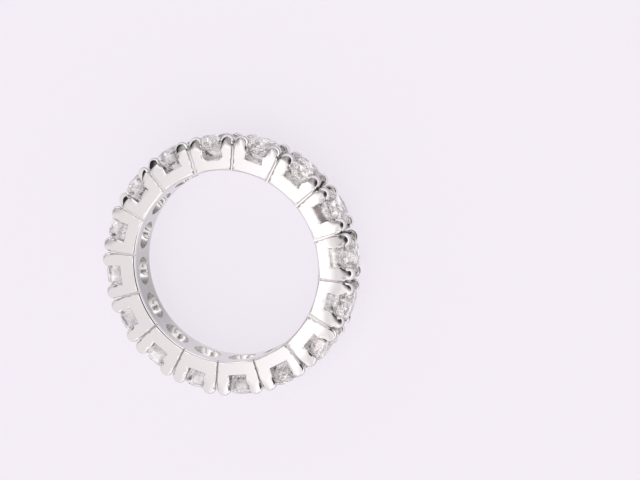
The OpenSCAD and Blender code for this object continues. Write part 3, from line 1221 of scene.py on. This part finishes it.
def diamond():
    """Clear diamond: light passes or is thrown back, with painted shade that darkens it out towards the
    table and on its clean side, and painted glints where some of its cells glow.
    """
    material, tree = new_material("diamond")
    place = tree.node("ShaderNodeTexCoord", output="Object")
    pick = cell_number(tree, place, SPARKLE_CELLS)
    sparkle = tree.ramp(cell_number(tree, place, CLEAN_CELLS), CLEAN_SPARKLE)
    flat = tree.vector("MULTIPLY", place, (1, 1, 0))
    from_axis = tree.vector("LENGTH", flat, (0, 0, 0), "Value")
    in_crown = tree.share_between(from_axis, CROWN_FROM, CROWN_TO)
    broken_side = to_broken_side(tree, place)
    broken = in_crown * broken_side
    bump = tree.node("ShaderNodeBump", None, {
        "Strength": 1.0, "Distance": FACET_DEPTH,
        "Height": facet_height(tree, place) * broken * FACET_SLOPE})
    tint = tree.ramp(tree.share_between(from_axis, STONE_FROM, STONE_TO), STONE_TINT)
    tint = tree.mix(1 - broken_side, tint, CLEAN_TINT, "MULTIPLY")
    sparkle = tree.mix(broken_side, sparkle, tree.ramp(pick, SPARKLE))
    shader = tree.node("ShaderNodeBsdfPrincipled", None, {
        "Base Color": tree.mix(broken, tint, tree.ramp(pick, DARK_CELLS), "MULTIPLY"),
        "Roughness": 0.0, "IOR": DIAMOND_BEND, "Transmission Weight": 1.0, "Normal": bump,
        "Emission Color": tree.mix(in_crown, NO_LIGHT, sparkle),
        "Emission Strength": SPARKLE_GLOW})
    tree.finish(shader)
    return material


clear = diamond()
print("diamond has", len(clear.node_tree.nodes), "nodes")

# %% [markdown]
# ## Putting the ring together
# The wall comes first, then the sixteen settings, each with its two plates and four prongs as one
# object. The stones are the packed ones: they only get their new material.

# %% The metal
points, quads, marks = ring_wall()
wall = make_piece("ring_wall", points, quads, gold, marks)
print("ring_wall", len(wall.data.polygons), "faces")
for index, name in enumerate(STONE_NAMES):
    (upper, upper_quads), (lower, lower_quads) = (plate(index, side) for side in (1, -1))
    points = np.concatenate([upper, lower])
    quads = np.concatenate([upper_quads, lower_quads + len(upper)])
    marks = dict(zip(("filed", "rim", "lit"), points[:, 3:].T))
    in_place = placed(points[:, :3], index)
    setting = make_piece(name.replace("diamond", "setting"), in_place, quads, gold, marks)
print("each setting", len(setting.data.polygons), "faces")

# %% The stones
for name in STONE_NAMES:
    stone = frame["nodes"][name]
    stone.data.materials.clear()
    stone.data.materials.append(clear)
print(len(STONE_NAMES), "stones in their new material")

# %% [markdown]
# ## The table
# The ring lies on a plain pale table, as wide as a room so that its far edge is never near. It
# glows a little, as the white acrylic under jewellery does when a lamp shines through it. A bright
# lamp from above would do as well, but it would leave a hard shadow.

# %% The table
FLOOR_HALF = 2.0
FLOOR_BELOW = 0.00001
FLOOR_CORNERS = [(-1, -1), (1, -1), (1, 1), (-1, 1)]
FLOOR_COLOUR = (0.25, 0.24, 0.25, 1)
FLOOR_ROUGHNESS = 0.7
ACRYLIC_LIGHT = (0.965, 0.91, 1.0, 1)
ACRYLIC_GLOW = 0.74


def pale_table():
    """A square as far as FLOOR_HALF each way, a hair below the ring."""
    mesh = bpy.data.meshes.new("floor")
    corners = [(x * FLOOR_HALF, y * FLOOR_HALF, -FLOOR_BELOW) for x, y in FLOOR_CORNERS]
    mesh.from_pydata(corners, [], [(0, 1, 2, 3)])
    piece = in_scene("floor", mesh)
    material, tree = new_material("pale floor")
    tree.finish(tree.node("ShaderNodeBsdfPrincipled", None, {
        "Base Color": FLOOR_COLOUR, "Roughness": FLOOR_ROUGHNESS,
        "Emission Color": ACRYLIC_LIGHT, "Emission Strength": ACRYLIC_GLOW}))
    mesh.materials.append(material)
    return piece


print("table", [round(v, 2) for v in pale_table().dimensions], "metres")

# %% [markdown]
# ## Studio light
# Jewellery is photographed inside a white tent, because a mirror shows its surroundings. Black
# cards in the tent give the metal its dark lines. Lamps and cards could be placed as objects, but
# other views of the ring would show them. The tent is the world instead: a soft white all round,
# brighter to one side, with two dark cards, each a band of heights times a band of bearings.

# %% The tent and its cards
LIGHT_SIDE = math.radians(187)
TENT_COLOUR = (1, 0.954, 0.985, 1)
# Brightness by how far a direction points towards the light's side, from -1 to 1
TENT = [
    (-1, 1.4), (-0.25, 1.4), (-0.05, 0.95), (0.08, 0.95), (0.18, 1.15), (0.25, 1.4), (0.30, 1.4),
    (0.33, 1.25), (0.345, 1.19), (0.365, 1.09), (0.385, 1.02), (0.40, 0.98), (0.42, 0.96), (1, 0.96)]
# How dark each card is by height, 0 at the horizon to 1 overhead, and by bearing in degrees
RIGHT_CARD_HEIGHT = [
    (0, 0), (0.28, 0), (0.34, 0.97), (0.75, 0.97), (0.85, 0.90), (0.92, 0.72), (0.96, 0.5),
    (0.985, 0.35), (0.995, 0.2), (1, 0.15)]
RIGHT_CARD_BEARING = [
    (-180, 0), (-65, 0), (-35, 0.8), (-15, 1), (35, 1), (60, 0.75), (90, 0.6), (110, 0), (180, 0)]
LEFT_CARD_HEIGHT = [
    (0, 0), (0.40, 0), (0.44, 0.97), (0.60, 0.97), (0.66, 0.90), (0.72, 0.62), (0.8, 0.55),
    (0.86, 0.35), (0.92, 0.1), (1, 0)]
LEFT_CARD_BEARING = [(-180, 0.83), (-170, 0), (85, 0), (110, 0.9), (125, 1), (178, 1), (180, 0.83)]


def brightness(tree, value, stops):
    """Straight lines through stops of (value, brightness): a ramp over their range, times the peak."""
    low, high = stops[0][0], stops[-1][0]
    peak = max(bright for _, bright in stops)
    greys = [((place - low) / (high - low), (bright / peak,) * 3) for place, bright in stops]
    return tree.ramp(tree.share_between(value, low, high), greys) * peak


print("the tent goes from", min(bright for _, bright in TENT), "to", max(bright for _, bright in TENT))

# %% Studio light
world = bpy.data.worlds.new("studio")
bpy.context.scene.world = world
sky = Tree(world)
direction = sky.node("ShaderNodeTexCoord", output="Generated")
x = sky.node("ShaderNodeSeparateXYZ", None, {"Vector": direction}, "X")
y, height = x.other("Y"), x.other("Z")
to_light = x * math.cos(LIGHT_SIDE) + y * math.sin(LIGHT_SIDE)
bearing = sky.node("ShaderNodeMath", {"operation": "ARCTAN2"}, {0: y, 1: x}) * math.degrees(1)
right_card = brightness(sky, height, RIGHT_CARD_HEIGHT) * brightness(sky, bearing, RIGHT_CARD_BEARING)
left_card = brightness(sky, height, LEFT_CARD_HEIGHT) * brightness(sky, bearing, LEFT_CARD_BEARING)
level = brightness(sky, to_light, TENT) * (1 - right_card) * (1 - left_card)
background = sky.node("ShaderNodeBackground", None, {"Color": TENT_COLOUR, "Strength": level})
sky.finish(background, "ShaderNodeOutputWorld")
bpy.context.scene.view_settings.view_transform = "Standard"
print("the tent has", len(world.node_tree.nodes), "nodes")

# %% [markdown]
# ## The end
